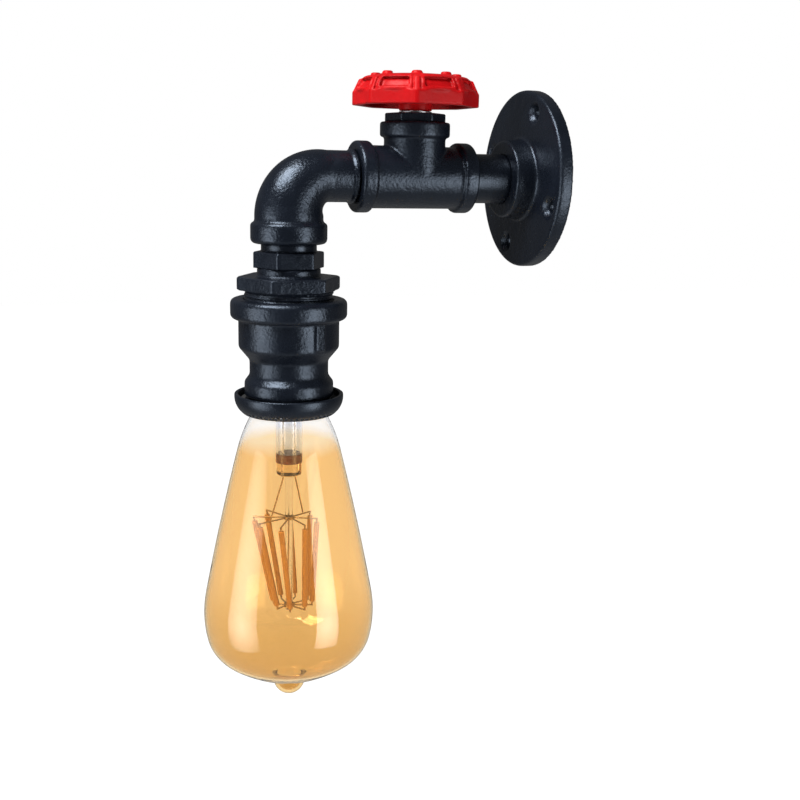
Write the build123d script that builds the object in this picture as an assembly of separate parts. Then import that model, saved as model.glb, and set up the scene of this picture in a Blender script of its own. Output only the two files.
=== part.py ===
"""Industrial pipe wall light: black half-inch pipe fittings that carry an E27 lamp.

Lengths are in millimetres and angles in degrees. The wall is the plane Y = 0, the arm
runs away from it along -Y, the lamp hangs along -Z and +Z is up. The origin is the
centre of the wall flange's back face, on the arm's axis.
"""
import math
import os

from build123d import *

os.makedirs("parts", exist_ok=True)

# Fits
thread_gap = 0.05       # radial gap in a screwed joint, its threads drawn at one size
running_gap = 0.05      # radial gap round a shaft that turns
moving_gap = 0.3        # gap between pieces that move apart
press_gap = 0.03        # gap round a piece that is pushed or cemented home

# Edges
edge_rounding = 0.6     # machined ends
cast_rounding = 1.2     # cast rims
band_rounding = 1.0     # fittings' bands
bore_chamfer = 1.0
hexagon_chamfer = 0.35  # share of a hexagon's corner that its chamfer takes

# Half-inch pipe
pipe_od = 21.3
pipe_wall = 2.9
pipe_thread = 20.95
thread_hold = 12.0      # how far a pipe end screws into a fitting

# Wall flange
flange_diameter = 77.0
flange_thickness = 6.0
hub_height = 15.0       # from the wall to the hub's face
hub_face_diameter = 33.2
hub_root_diameter = 35.4
screw_circle = 61.0
screw_hole = 5.5
countersink = 9.6
screw_count = 4
screw_turn = 68.0       # first hole, measured from +X towards +Z
flange_pipe_hold = 10.5

# Tee
tee_start = 31.6        # from the wall to the tee's near face
tee_run = 52.2
branch_distance = 56.5  # from the wall to the branch's axis
tee_band_diameter = 30.0
tee_band_width = 6.4
tee_barrel_diameter = 26.4
tee_core = 17.0         # cast waterway between the threaded sockets
branch_height = 23.2    # from the arm's axis to the top of the branch
socket_depth = 13.0     # threaded depth of a fitting's socket
branch_socket_depth = 11.5

# Street elbow
drop_distance = 112.0   # from the wall to the lamp's axis
bend_radius = 16.0
elbow_leg_diameter = 21.5
elbow_collar_diameter = 23.0
elbow_collar_width = 1.8
elbow_barrel_diameter = 28.8
elbow_band_diameter = 32.2
elbow_band_height = 8.2
elbow_face = 28.0       # from the arm's axis down to the band's lower face
elbow_bore = 15.0
elbow_bulge = 0.5       # how much fuller the bend is halfway round
elbow_foot_rounding = 2.2

# Hexagon nipple and reducing bushing
wrench_turn = 27.0      # how far both hexagons are turned about the drop axis
nipple_collar_diameter = 23.4
nipple_collar_height = 3.2
nipple_hexagon = 26.4   # across flats
nipple_hexagon_height = 6.8
nipple_lower_thread = 7.0
nipple_bore = 15.8
bushing_boss_diameter = 26.8
bushing_boss_height = 3.5
bushing_hexagon = 38.6  # across flats
bushing_hexagon_height = 5.8
bushing_thread = 38.0
bushing_thread_length = 10.2
bushing_web = 3.0       # wall that closes the bushing's bottom

# Bell, a cast reducing socket
bell_gap = 3.6          # thread left showing above the bell
bell_band_diameter = 49.5
bell_band_height = 8.6
bell_body_diameter = 42.8
bell_body_height = 12.0
bell_waist_diameter = 33.6
bell_shoulder_height = 5.5
bell_flare_height = 3.0
bell_lower_band_diameter = 38.0
bell_lower_band_height = 6.0
bell_wall = 2.9
bell_waist_gap = 0.15    # round the lampholder's sleeve
bell_rib_width = 5.0
bell_rib_rise = 0.7
bell_rib_turn = 22.0
bell_band_rounding = 2.2
bell_curve = 2.5         # rounding where the bell's slopes meet

# Hollow stud that hangs the lampholder in the bushing
stud_diameter = 10.0
stud_bore = 7.0
stud_nut = 13.0         # across flats
stud_nut_height = 3.0
stud_above_nut = 1.2
washer_thickness = 1.0
upper_washer_diameter = 19.0
lower_washer_diameter = 24.0
tag_thickness = 0.8
tag_diameter = 15.0
tag_stud_gap = 0.4
tag_leg_lap = 0.8
tag_barrel_height = 3.6

# Lampholder
holder_sleeve_diameter = 30.2
holder_bore = 28.4
holder_skirt_diameter = 33.2
holder_skirt_height = 10.5
holder_below_bell = 4.0 # how far the skirt shows below the bell
holder_cap_height = 7.6
holder_cap_wall = 1.4
holder_cap_roof = 2.4
stud_boss_diameter = 15.0
stud_boss_height = 1.4
block_thickness = 4.4
block_recess_diameter = 16.0
block_recess_depth = 2.9
terminal_size = (4.6, 5.4, 2.8)
terminal_reach = 7.6    # from the holder's axis to the middle of a terminal
terminal_screw_head = 4.2
terminal_screw_head_height = 0.9
terminal_screw_shank = 2.5

# E27 screw
e27_pitch = 3.63
cap_crest_diameter = 26.1
cap_thread_depth = 0.7
cap_sheet = 0.35
cap_thread_turns = 5
shell_thread_turns = 5
cap_length = 27.0       # from the rim to the contact's tip
cap_rim_inside = 0.5    # how far the rim sits inside the holder's mouth
tip_in_block = 1.5      # how far the contact's tip reaches into the contact block
contact_diameter = 9.6
contact_height = 1.0
insulator_height = 4.0
contact_width = 4.0     # of the holder's spring contact

# Shade ring, a dish on the lampholder's skirt
ring_rim_diameter = 46.6
ring_rim_wall = 1.6
ring_rim_rise = 4.9     # from the holder's mouth up to the rim
ring_foot_diameter = 38.8
ring_foot_wall = 1.2
ring_foot_drop = 3.8    # from the holder's mouth down to the foot
ring_bulge = 1.5
ring_hub_wall = 1.7
ring_hub_height = 3.1
ring_floor_rise = 0.2   # from the holder's mouth up to the dish's floor
ring_floor = 1.3
ring_notches = 60
ring_notch_diameter = 1.2
ring_notch_height = 2.6
ring_washer_thickness = 0.8
ring_washer_width = 1.95

# Handwheel, its plug and its stem
plug_hexagon = 22.6     # across flats
plug_head_height = 3.6
plug_turn = 12.0
plug_thread_length = 10.6
stem_diameter = 8.0
stem_square = 5.6
stem_below_plug = 2.4
clip_groove_depth = 0.8
clip_thickness = 0.7
clip_diameter = 13.0
seal_section = 1.8
thrust_washer_thickness = 0.7
thrust_washer_diameter = 14.0
wheel_sides = 8
wheel_turn = -20.0
wheel_corner_diameter = 54.4
wheel_rim_height = 29.6     # from the arm's axis to the rim's lower edge
wheel_skirt_height = 5.6
wheel_crown_height = 42.0
wheel_crown_diameter = 37.0
wheel_crown_width = 2.4
wheel_wall = 2.3
wheel_web_height = 38.0
wheel_web_thickness = 2.4
wheel_hub_diameter = 14.0
wheel_hub_top = 38.2
wheel_rib_width = 2.2
wheel_rib_rise = 1.2
wheel_window_depth = 1.0
wheel_window_angle = 30.0
wheel_window_margin = 1.2
wheel_frame_angle = 36.0
wheel_frame_rise = 0.5
wheel_knob_diameter = 4.4
wheel_corner_rounding = 2.5
wheel_screw_head = 8.6
wheel_screw_head_height = 2.2
wheel_screw_shank = 4.0
wheel_screw_length = 10.0
wheel_washer_diameter = 11.0

# Lamp
glass_wall = 0.9
neck_diameter = 24.2    # the glass inside the cap
neck_inside_cap = 5.0
bulb_start = (13.4, 0.6)        # radius, and depth below the cap's rim
bulb_start_lean = 34.25         # outwards from straight down
bulb_shoulder = (22.35, 20.54)
bulb_cone_end = (36.8, 86.05)
bulb_belly_end = (36.35, 106.23)
bulb_turn_in = (29.74, 115.9)
bulb_base = (4.5, 128.2)
bulb_tip_radius = 7.1
bulb_tip_depth = 128.4          # from the rim to the middle of the round tip
bulb_tip_wall = 1.4
stem_tube_diameter = 11.6
stem_tube_wall = 0.8
stem_flare_depth = 5.0
stem_seal_depth = 22.5  # from the rim to the dark seal
stem_seal_height = 4.0
stem_collar_diameter = 11.0
stem_collar_height = 5.9
rod_diameter = 3.4
rod_below_cage = 2.0
filament_count = 8
filament_diameter = 2.4
filament_tab = 1.6
filament_tab_diameter = 0.9
filament_tab_gap = 0.08
cage_top_depth = 52.0
cage_top_radius = 14.0
cage_height = 41.0
cage_bottom_radius = 8.5
cage_lean = 1.75        # top ring towards the front, bottom ring towards the wall
cage_wire_diameter = 0.7
lead_wire_spread = 3.2
lead_places = (6, 2)    # the filaments that the lead wires reach
lead_reach = 0.55       # how far out along the cage's wire, as a share
lead_bend = 1.0
board_diameter = 19.0
board_thickness = 1.0
board_above_rim = 9.0
capacitor_diameter = 6.0
capacitor_length = 7.5

# Wires inside the pipe
wire_diameter = 2.0
wire_core = 1.0
wire_spacing = 2.7      # live and neutral from the arm's middle plane
wire_level = -5.5       # live and neutral in the arm
earth_level = -2.4
stud_wire_spacing = 1.3
wire_start = 0.5        # from the wall to the end of the insulation
wire_turn_place = 8.5   # past the start of the elbow's bend, where the wires turn down
wire_drop_place = 6.0   # below the elbow's face, where they stand upright
wire_bend = 11.0
earth_bend = 14.0

# Levels along the drop axis, from the top down
nipple_hexagon_top = -elbow_face - nipple_collar_height
nipple_hexagon_bottom = nipple_hexagon_top - nipple_hexagon_height
nipple_bottom = nipple_hexagon_bottom - nipple_lower_thread
bushing_hexagon_top = nipple_hexagon_bottom - bushing_boss_height
bushing_hexagon_bottom = bushing_hexagon_top - bushing_hexagon_height
bushing_bottom = bushing_hexagon_bottom - bushing_thread_length
bushing_seat = bushing_bottom + bushing_web
bell_top = bushing_hexagon_bottom - bell_gap
bell_body_top = bell_top - bell_band_height
bell_body_bottom = bell_body_top - bell_body_height
bell_waist_top = bell_body_bottom - bell_shoulder_height
holder_top = bushing_bottom - washer_thickness
holder_cap_bottom = holder_top - holder_cap_height
block_bottom = holder_cap_bottom - block_thickness
cap_tip = block_bottom + tip_in_block
cap_rim = cap_tip - cap_length
holder_mouth = cap_rim - cap_rim_inside
bell_bottom = holder_mouth + holder_below_bell
bell_lower_band_top = bell_bottom + bell_lower_band_height
bell_waist_bottom = bell_lower_band_top + bell_flare_height
holder_skirt_top = holder_mouth + holder_skirt_height
ring_top = holder_mouth + ring_rim_rise
ring_bottom = holder_mouth - ring_foot_drop
ring_floor_bottom = holder_mouth + ring_floor_rise
ring_floor_top = ring_floor_bottom + ring_floor
ring_hub_top = ring_floor_bottom + ring_hub_height
tag_bottom = bushing_seat + washer_thickness
nut_bottom = tag_bottom + tag_thickness
stud_top = nut_bottom + stud_nut_height + stud_above_nut
tag_top = nut_bottom + stud_nut_height + tag_barrel_height
stud_bottom = holder_top - holder_cap_roof - stud_boss_height

# Levels and places along the arm and at the wheel
tee_end = tee_start + tee_run
bend_start = drop_distance - bend_radius
plug_seat = branch_height
plug_top = plug_seat + plug_head_height
plug_bottom = plug_seat - plug_thread_length
wheel_hub_bottom = plug_top + thrust_washer_thickness + moving_gap
wheel_skirt_top = wheel_rim_height + wheel_skirt_height


def turned(outline):
    """Turn an outline of (radius, height) corners about the upright axis.

    A third number on a corner rounds it by that radius.
    """
    face = make_face(Plane.XZ * Polyline(*[(x, z) for x, z, *_ in outline], close=True))
    for x, z, *rounding in outline:
        if rounding:
            corner = face.vertices().sort_by_distance((x, 0, z))[0]
            face = fillet(corner, rounding[0])
    return revolve(face, Axis.Z)


def tube(outer, inner, low, high):
    """Plain upright ring or pipe between two levels."""
    return turned([(inner / 2, low), (outer / 2, low), (outer / 2, high), (inner / 2, high)])


def along_arm(shape):
    """Lay an upright shape along the arm, with its height as the distance from the wall."""
    return Rot(X=90) * shape


def on_drop(shape):
    """Put an upright shape on the lamp's axis."""
    return Pos(0, -drop_distance, 0) * shape


def on_branch(shape):
    """Put an upright shape on the tee's branch."""
    return Pos(0, -branch_distance, 0) * shape


def hexagon(across_flats, low, high, turn, chamfered_top=True, chamfered_bottom=False):
    """Hexagonal head with a 30 degree chamfer on its corners."""
    flat = across_flats / 2
    corner = flat / math.cos(math.radians(30))
    chamfer = corner - hexagon_chamfer * (corner - flat)
    fall = (corner - chamfer) * math.tan(math.radians(30))
    head = RegularPolygon(flat, 6, major_radius=False, rotation=turn)
    prism = Pos(0, 0, low) * extrude(head, high - low)
    outline = [(0, low)]
    outline += [(chamfer, low), (corner, low + fall)] if chamfered_bottom else [(corner, low)]
    outline += [(corner, high - fall), (chamfer, high)] if chamfered_top else [(corner, high)]
    outline += [(0, high)]
    return prism & turned(outline)


def wire_along(points, radii, diameter):
    """Round wire along straight runs joined by tangent arcs."""
    path = FilletPolyline(*points, radius=radii)
    section = Plane(origin=path @ 0, z_dir=path % 0) * Circle(diameter / 2)
    return sweep(section, path=path)


def straight_wire(start, end, diameter):
    """Short straight piece of wire or rod between two points."""
    run = Vector(*end) - Vector(*start)
    section = Plane(origin=start, z_dir=run) * Circle(diameter / 2)
    return extrude(section, run.length)


# Pipe fittings

def wall_flange():
    bore = pipe_thread / 2 + thread_gap
    body = turned([
        (bore + bore_chamfer, 0), (flange_diameter / 2, 0),
        (flange_diameter / 2, flange_thickness, cast_rounding),
        (hub_root_diameter / 2, flange_thickness, cast_rounding),
        (hub_face_diameter / 2, hub_height, band_rounding), (bore, hub_height), (bore, bore_chamfer)])
    for index in range(screw_count):
        turn = screw_turn + index * 360 / screw_count
        spot = Rot(Z=turn) * Pos(screw_circle / 2, 0, 0)
        sink_depth = (countersink - screw_hole) / 2
        hole = tube(screw_hole, 0, -1, flange_thickness + 1)
        sink = turned([(0, flange_thickness - sink_depth), (screw_hole / 2, flange_thickness - sink_depth),
                       (countersink / 2, flange_thickness), (countersink / 2, flange_thickness + 1),
                       (0, flange_thickness + 1)])
        body -= spot * hole
        body -= spot * sink
    return along_arm(body)


def flange_nipple():
    near = hub_height - flange_pipe_hold
    far = tee_start + thread_hold
    thread = pipe_thread / 2
    bore = pipe_od / 2 - pipe_wall
    return along_arm(turned([
        (bore, near), (thread, near, edge_rounding), (thread, hub_height), (pipe_od / 2, hub_height),
        (pipe_od / 2, tee_start), (thread, tee_start), (thread, far, edge_rounding), (bore, far)]))


def banded_socket(length, band, width, barrel):
    """Outer form of a fitting's run, banded at both ends, from 0 to its length."""
    return turned([
        (0, 0), (band / 2, 0, band_rounding), (band / 2, width, band_rounding), (barrel / 2, width),
        (barrel / 2, length - width), (band / 2, length - width, band_rounding),
        (band / 2, length, band_rounding), (0, length)])


def tee():
    run = Pos(0, 0, tee_start) * banded_socket(tee_run, tee_band_diameter, tee_band_width,
                                               tee_barrel_diameter)
    branch = turned([
        (0, 0), (tee_barrel_diameter / 2, 0), (tee_barrel_diameter / 2, branch_height - tee_band_width),
        (tee_band_diameter / 2, branch_height - tee_band_width, band_rounding),
        (tee_band_diameter / 2, branch_height, band_rounding), (0, branch_height)])
    socket = pipe_thread / 2 + thread_gap
    core = along_arm(tube(tee_core, 0, tee_start, tee_end))
    for low, high in ((tee_start, tee_start + socket_depth), (tee_end - socket_depth, tee_end)):
        core += along_arm(tube(2 * socket, 0, low, high))
    upright = tube(tee_core, 0, 0, branch_height)
    upright += tube(2 * socket, 0, branch_height - branch_socket_depth, branch_height)
    return along_arm(run) + on_branch(branch) - core - on_branch(upright)


def elbow_section(turn, radius):
    """Disc across the elbow's bend, from the barrel (0) round to the leg (90)."""
    angle = math.radians(turn)
    origin = (0, -bend_start - bend_radius * math.cos(angle), -bend_radius + bend_radius * math.sin(angle))
    return Plane(origin=origin, x_dir=(1, 0, 0), z_dir=(0, math.sin(angle), math.cos(angle))) * Circle(radius)


def street_elbow():
    barrel = elbow_barrel_diameter / 2
    leg = elbow_leg_diameter / 2
    turns = (0, 22.5, 45, 67.5, 90)
    sections = []
    for turn in turns:
        bulge = elbow_bulge * math.sin(math.radians(2 * turn))
        sections.append(elbow_section(turn, barrel + (leg - barrel) * turn / 90 + bulge))
    bend = loft(sections)
    band_top = -elbow_face + elbow_band_height
    band = elbow_band_diameter / 2
    lower = turned([(0, -elbow_face), (band, -elbow_face, elbow_foot_rounding), (band, band_top, cast_rounding),
                    (barrel, band_top + band_rounding), (barrel, -bend_radius), (0, -bend_radius)])
    male_end = tee_end - thread_hold
    collar_start = tee_end + edge_rounding
    collar_end = collar_start + elbow_collar_width
    collar = elbow_collar_diameter / 2
    thread = pipe_thread / 2
    arm = turned([(0, male_end), (thread, male_end, edge_rounding), (thread, collar_start),
                  (collar, collar_start), (collar, collar_end, edge_rounding), (leg, collar_end),
                  (leg, bend_start), (0, bend_start)])
    solid = bend + on_drop(lower) + along_arm(arm)
    waterway = sweep(elbow_section(0, elbow_bore / 2),
                     path=CenterArc((0, 0, 0), bend_radius, 0, 90).moved(bend_place()))
    bore = along_arm(tube(elbow_bore, 0, male_end, bend_start))
    bore += on_drop(tube(elbow_bore, 0, -elbow_face, -bend_radius))
    bore += on_drop(tube(pipe_thread + 2 * thread_gap, 0, -elbow_face, -elbow_face + socket_depth))
    return solid - waterway - bore


def bend_place():
    """Where the elbow's bend lies: its arc runs from the barrel up and round to the leg."""
    middle = Plane(origin=(0, -bend_start, -bend_radius), x_dir=(0, -1, 0), z_dir=(-1, 0, 0))
    return middle.location


def hex_nipple():
    thread = pipe_thread / 2
    collar = nipple_collar_diameter / 2
    upper_end = -elbow_face + thread_hold
    shaft = turned([
        (nipple_bore / 2, nipple_bottom), (thread, nipple_bottom, edge_rounding), (thread, nipple_hexagon_bottom),
        (collar, nipple_hexagon_bottom), (collar, -elbow_face), (thread, -elbow_face),
        (thread, upper_end, edge_rounding), (nipple_bore / 2, upper_end)])
    head = hexagon(nipple_hexagon, nipple_hexagon_bottom, nipple_hexagon_top, wrench_turn)
    return on_drop(shaft + head - tube(nipple_bore, 0, nipple_bottom, upper_end))


def reducing_bushing():
    boss = bushing_boss_diameter / 2
    thread = bushing_thread / 2
    body = turned([(0, bushing_bottom), (thread, bushing_bottom, edge_rounding), (thread, bushing_hexagon_bottom),
                   (boss, bushing_hexagon_bottom), (boss, nipple_hexagon_bottom, edge_rounding),
                   (0, nipple_hexagon_bottom)])
    body += hexagon(bushing_hexagon, bushing_hexagon_bottom, bushing_hexagon_top, wrench_turn,
                    chamfered_bottom=True)
    body -= tube(pipe_thread + 2 * thread_gap, 0, bushing_seat, nipple_hexagon_bottom)
    body -= tube(stud_diameter + 2 * thread_gap, 0, bushing_bottom, bushing_seat)
    return on_drop(body)


def bell_reducer():
    band = bell_band_diameter / 2
    body = bell_body_diameter / 2
    waist = bell_waist_diameter / 2
    lower = bell_lower_band_diameter / 2
    outer = [(0, bell_bottom), (lower, bell_bottom, edge_rounding), (lower, bell_lower_band_top, cast_rounding),
             (waist, bell_waist_bottom, bell_curve), (waist, bell_waist_top, bell_curve),
             (body, bell_body_bottom, bell_curve), (body, bell_body_top),
             (band, bell_body_top, bell_band_rounding), (band, bell_top, bell_band_rounding), (0, bell_top)]
    solid = turned(outer)
    rib_low = bell_body_bottom + bell_rib_rise
    for turn in (bell_rib_turn, bell_rib_turn + 180):
        rib = Box(bell_rib_rise + bell_wall, bell_rib_width, bell_body_top - rib_low,
                  align=(Align.MAX, Align.CENTER, Align.MIN))
        solid += Rot(Z=turn) * Pos(body + bell_rib_rise, 0, rib_low) * rib
    socket = bushing_thread / 2 + thread_gap
    cavity = body - bell_wall
    waist_bore = holder_sleeve_diameter / 2 + bell_waist_gap
    skirt_bore = holder_skirt_diameter / 2 + thread_gap
    inner = turned([
        (0, bell_bottom), (skirt_bore, bell_bottom), (skirt_bore, holder_skirt_top),
        (waist_bore, holder_skirt_top), (waist_bore, bell_waist_top),
        (cavity, bell_body_bottom), (cavity, bushing_bottom), (socket, bushing_bottom),
        (socket, bell_top), (0, bell_top)])
    return on_drop(solid - inner)


# Hollow stud and earth tag

def hollow_stud():
    return on_drop(tube(stud_diameter, stud_bore, stud_bottom, stud_top))


def stud_nut_piece():
    nut = hexagon(stud_nut, nut_bottom, nut_bottom + stud_nut_height, 0, chamfered_bottom=True)
    return on_drop(nut - tube(stud_diameter + 2 * thread_gap, 0, nut_bottom, nut_bottom + stud_nut_height))


def stud_washer(diameter, low):
    return on_drop(tube(diameter, stud_diameter + 2 * thread_gap, low, low + washer_thickness))


def tag_radius():
    """From the drop axis to the middle of the earth tag's barrel, clear of the stud."""
    return stud_diameter / 2 + wire_diameter / 2 + tag_stud_gap


def barrel_bottom():
    return nut_bottom + stud_nut_height + moving_gap


def earth_tag():
    """Ring under the nut, a leg up the nut's flat and a barrel for the wire above it."""
    ring = tube(tag_diameter, stud_diameter + 2 * thread_gap, tag_bottom, nut_bottom)
    leg_inside = stud_nut / 2 + press_gap
    leg = Box(tag_thickness, wire_diameter, barrel_bottom() + tag_leg_lap - tag_bottom,
              align=(Align.MIN, Align.CENTER, Align.MIN))
    leg = Pos(leg_inside, 0, tag_bottom) * leg
    place = Pos(tag_radius(), 0, 0)
    barrel = place * tube(wire_diameter, 0, barrel_bottom(), tag_top)
    bore = place * tube(wire_core + 2 * press_gap, 0, barrel_bottom(), tag_top)
    return on_drop(Rot(Z=90) * (ring + leg + barrel - bore))


# Lampholder

def lampholder_cap():
    sleeve = holder_sleeve_diameter / 2
    inside = sleeve - holder_cap_wall
    roof = holder_top - holder_cap_roof
    boss = stud_boss_diameter / 2
    bore = stud_diameter / 2 + thread_gap
    return on_drop(turned([
        (bore, stud_bottom), (boss, stud_bottom), (boss, roof), (inside, roof), (inside, holder_cap_bottom),
        (sleeve, holder_cap_bottom), (sleeve, holder_top, 1.2), (bore, holder_top)]))


def lampholder_body():
    sleeve = holder_sleeve_diameter / 2
    skirt = holder_skirt_diameter / 2
    bore = holder_bore / 2
    return on_drop(turned([
        (bore, holder_mouth), (skirt, holder_mouth, 0.6), (skirt, holder_skirt_top),
        (sleeve, holder_skirt_top), (sleeve, holder_cap_bottom), (bore, holder_cap_bottom)]))


def terminal_places():
    """Live terminal on the wall's side of the block, neutral on the far side."""
    return {"live": (-terminal_reach, 0), "neutral": (terminal_reach, 0)}


def contact_block():
    radius = holder_bore / 2 - press_gap
    block = tube(2 * radius, 0, block_bottom, holder_cap_bottom)
    block -= tube(block_recess_diameter, 0, block_bottom, block_bottom + block_recess_depth)
    return on_drop(block)


def terminal(x):
    length, width, height = terminal_size
    body = Box(length, width, height, align=(Align.CENTER, Align.CENTER, Align.MIN))
    hole = Rot(Y=90) * Cylinder(wire_core / 2 + press_gap, 2 * length)
    thread = Cylinder(terminal_screw_shank / 2 + press_gap, height / 2,
                      align=(Align.CENTER, Align.CENTER, Align.MAX))
    body -= Pos(0, 0, height / 2) * hole
    body -= Pos(0, 0, height) * thread
    return on_drop(Pos(x, 0, holder_cap_bottom) * body)


def terminal_screws():
    height = terminal_size[2]
    head_level = holder_cap_bottom + height
    screws = []
    for x, _ in terminal_places().values():
        shank = Cylinder(terminal_screw_shank / 2, height / 2 - wire_core / 2,
                         align=(Align.CENTER, Align.CENTER, Align.MAX))
        head = Cylinder(terminal_screw_head / 2, terminal_screw_head_height,
                        align=(Align.CENTER, Align.CENTER, Align.MIN))
        slot = Pos(0, 0, terminal_screw_head_height) * Box(terminal_screw_head, 0.6, 0.7)
        screws.append(on_drop(Pos(x, 0, head_level) * (shank + head - slot)))
    return Compound(children=screws)


def thread_wave(middle, start, turns):
    """Rolled thread's section: a crest and a root for each turn, from the start up."""
    points = []
    for index in range(turns):
        low = start + index * e27_pitch
        for share, side in ((0.15, 1), (0.35, 1), (0.65, -1), (0.85, -1)):
            points.append((middle + side * cap_thread_depth / 2, low + share * e27_pitch))
    return points


def threaded_shell(middle, low, start, turns, high, lip):
    """Thin screw shell: plain ends, a rolled thread between, its top turned in to the lip."""
    end = start + turns * e27_pitch
    inner = middle - cap_sheet
    outline = [(inner, low), (middle, low), (middle, start)]
    outline += thread_wave(middle, start, turns)
    outline += [(middle, end), (middle, high), (lip, high), (lip, high - cap_sheet),
                (inner, high - cap_sheet), (inner, end)]
    outline += reversed(thread_wave(inner, start, turns))
    outline += [(inner, start)]
    return turned(outline)


def socket_shell():
    middle = cap_crest_diameter / 2 + cap_thread_depth / 2 + running_gap + cap_sheet
    high = block_bottom
    start = high - cap_sheet - 0.6 - shell_thread_turns * e27_pitch
    return on_drop(threaded_shell(middle, holder_mouth + 2.0, start, shell_thread_turns, high,
                                  block_recess_diameter / 2))


def socket_centre_contact():
    """Bronze tongue, held in the block's recess just above the lamp's tip."""
    low = cap_tip + moving_gap
    high = block_bottom + block_recess_depth
    width = contact_diameter / 2
    bent = [(-width, high - 0.5), (-width, high), (width, high), (width, high - 0.5),
            (0.6, high - 0.5), (width, low + 0.5), (width, low), (-width, low), (-width, low + 0.5),
            (width - 2.2, low + 0.5), (-0.9, high - 0.5)]
    strip = make_face(Plane.XZ * Polyline(*bent, close=True))
    return on_drop(extrude(strip, contact_width / 2, both=True))


# Shade ring

def shade_ring():
    """Dish with a rolled rim: a hub up the holder's skirt, a floor, and a wall round them."""
    bore = holder_skirt_diameter / 2 + thread_gap
    hub = bore + ring_hub_wall
    wall_sections = []
    for inset_rim, inset_foot in ((0, 0), (ring_rim_wall, ring_foot_wall)):
        rim = ring_rim_diameter / 2 - inset_rim
        foot = ring_foot_diameter / 2 - inset_foot
        middle = ((rim + foot) / 2 + ring_bulge, 0, (ring_top + ring_bottom) / 2)
        arc = ThreePointArc((rim, 0, ring_top), middle, (foot, 0, ring_bottom))
        sides = Polyline((foot, 0, ring_bottom), (0, 0, ring_bottom), (0, 0, ring_top), (rim, 0, ring_top))
        section = [arc, sides]
        wall_sections.append(revolve(make_face(section), Axis.Z))
    outer, inner = wall_sections
    floor = tube(ring_rim_diameter, 2 * bore, ring_floor_bottom, ring_floor_top) & outer
    ring = outer - inner + floor + tube(2 * hub, 2 * bore, ring_floor_bottom, ring_hub_top)
    foot_place = ring_foot_diameter / 2 + ring_notch_diameter
    notch = Cylinder(ring_notch_diameter / 2, ring_notch_height, align=(Align.CENTER, Align.CENTER, Align.MIN))
    notches = [Rot(Z=index * 360 / ring_notches) * Pos(foot_place, 0, ring_bottom) * notch
               for index in range(ring_notches)]
    return on_drop(ring - notches)


def ring_washer():
    """Rubber ring on the dish's floor."""
    low = ring_floor_top + moving_gap
    inner = holder_skirt_diameter / 2 + thread_gap + ring_hub_wall + moving_gap
    outer = inner + ring_washer_width
    return on_drop(tube(2 * outer, 2 * inner, low, low + ring_washer_thickness))


# Handwheel

def branch_plug():
    thread = pipe_thread / 2
    body = turned([(0, plug_bottom), (thread, plug_bottom, edge_rounding), (thread, plug_seat), (0, plug_seat)])
    body += hexagon(plug_hexagon, plug_seat, plug_top, plug_turn)
    body -= tube(stem_diameter + 2 * running_gap, 0, plug_bottom, plug_top)
    body -= tube(stem_diameter + 2 * running_gap + 2 * seal_section, 0, seal_level() - seal_section / 2,
                 seal_level() + seal_section / 2)
    return on_branch(body)


def seal_level():
    return (plug_bottom + plug_seat) / 2


def stem_seal():
    """Rubber ring in the plug's groove, which steadies the stem."""
    middle = stem_diameter / 2 + running_gap + seal_section / 2
    section = Plane.XZ * Pos(middle, seal_level()) * Circle(seal_section / 2 - 0.01)
    return on_branch(revolve(section, Axis.Z))


def thrust_washer():
    bore = stem_diameter + 2 * running_gap
    return on_branch(tube(thrust_washer_diameter, bore, plug_top, plug_top + thrust_washer_thickness))


def clip_top():
    return plug_bottom - moving_gap


def wheel_stem():
    radius = stem_diameter / 2
    low = plug_bottom - stem_below_plug
    groove = radius - clip_groove_depth
    shank = turned([
        (0, low), (radius, low, 0.5), (radius, clip_top() - clip_thickness), (groove, clip_top() - clip_thickness),
        (groove, clip_top()), (radius, clip_top()), (radius, wheel_hub_bottom), (0, wheel_hub_bottom)])
    square_top = wheel_hub_top - 0.4
    square = Box(stem_square, stem_square, square_top - wheel_hub_bottom,
                 align=(Align.CENTER, Align.CENTER, Align.MIN))
    square = Pos(0, 0, wheel_hub_bottom) * square
    tapped = tube(wheel_screw_shank + 2 * thread_gap, 0, square_top - wheel_screw_length, square_top)
    return on_branch(Rot(Z=wheel_turn) * (shank + square - tapped))


def stem_clip():
    """Snap ring in the stem's groove, under the plug."""
    groove = stem_diameter - 2 * clip_groove_depth
    ring = tube(clip_diameter, groove, clip_top() - clip_thickness, clip_top())
    mouth = Pos(0, clip_diameter / 2, clip_top()) * Box(groove * 0.8, clip_diameter, 4 * clip_thickness)
    return on_branch(ring - mouth)


def wheel_arc(inset):
    """Start, middle and end of the dome's section between skirt and crown, set in by a distance."""
    skirt = wheel_corner_diameter / 2 * math.cos(math.pi / wheel_sides) - inset
    crown = wheel_crown_diameter / 2 - inset * 0.5
    high = wheel_crown_height - inset
    bulge = 0.36 * (skirt - crown)
    middle = ((skirt + crown) / 2 + bulge / 2, (wheel_skirt_top + high) / 2 + bulge / 2)
    return (skirt, wheel_skirt_top), middle, (crown, high)


def dome_section(inset, low, core):
    """Section of the wheel's dome from the axis out, set in by a distance."""
    start, middle, end = wheel_arc(inset)
    edges = [
        Line((core, 0, low), (start[0], 0, low)), Line((start[0], 0, low), (start[0], 0, start[1])),
        ThreePointArc((start[0], 0, start[1]), (middle[0], 0, middle[1]), (end[0], 0, end[1])),
        Line((end[0], 0, end[1]), (core, 0, end[1])), Line((core, 0, end[1]), (core, 0, low))]
    return make_face(edges)


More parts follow.
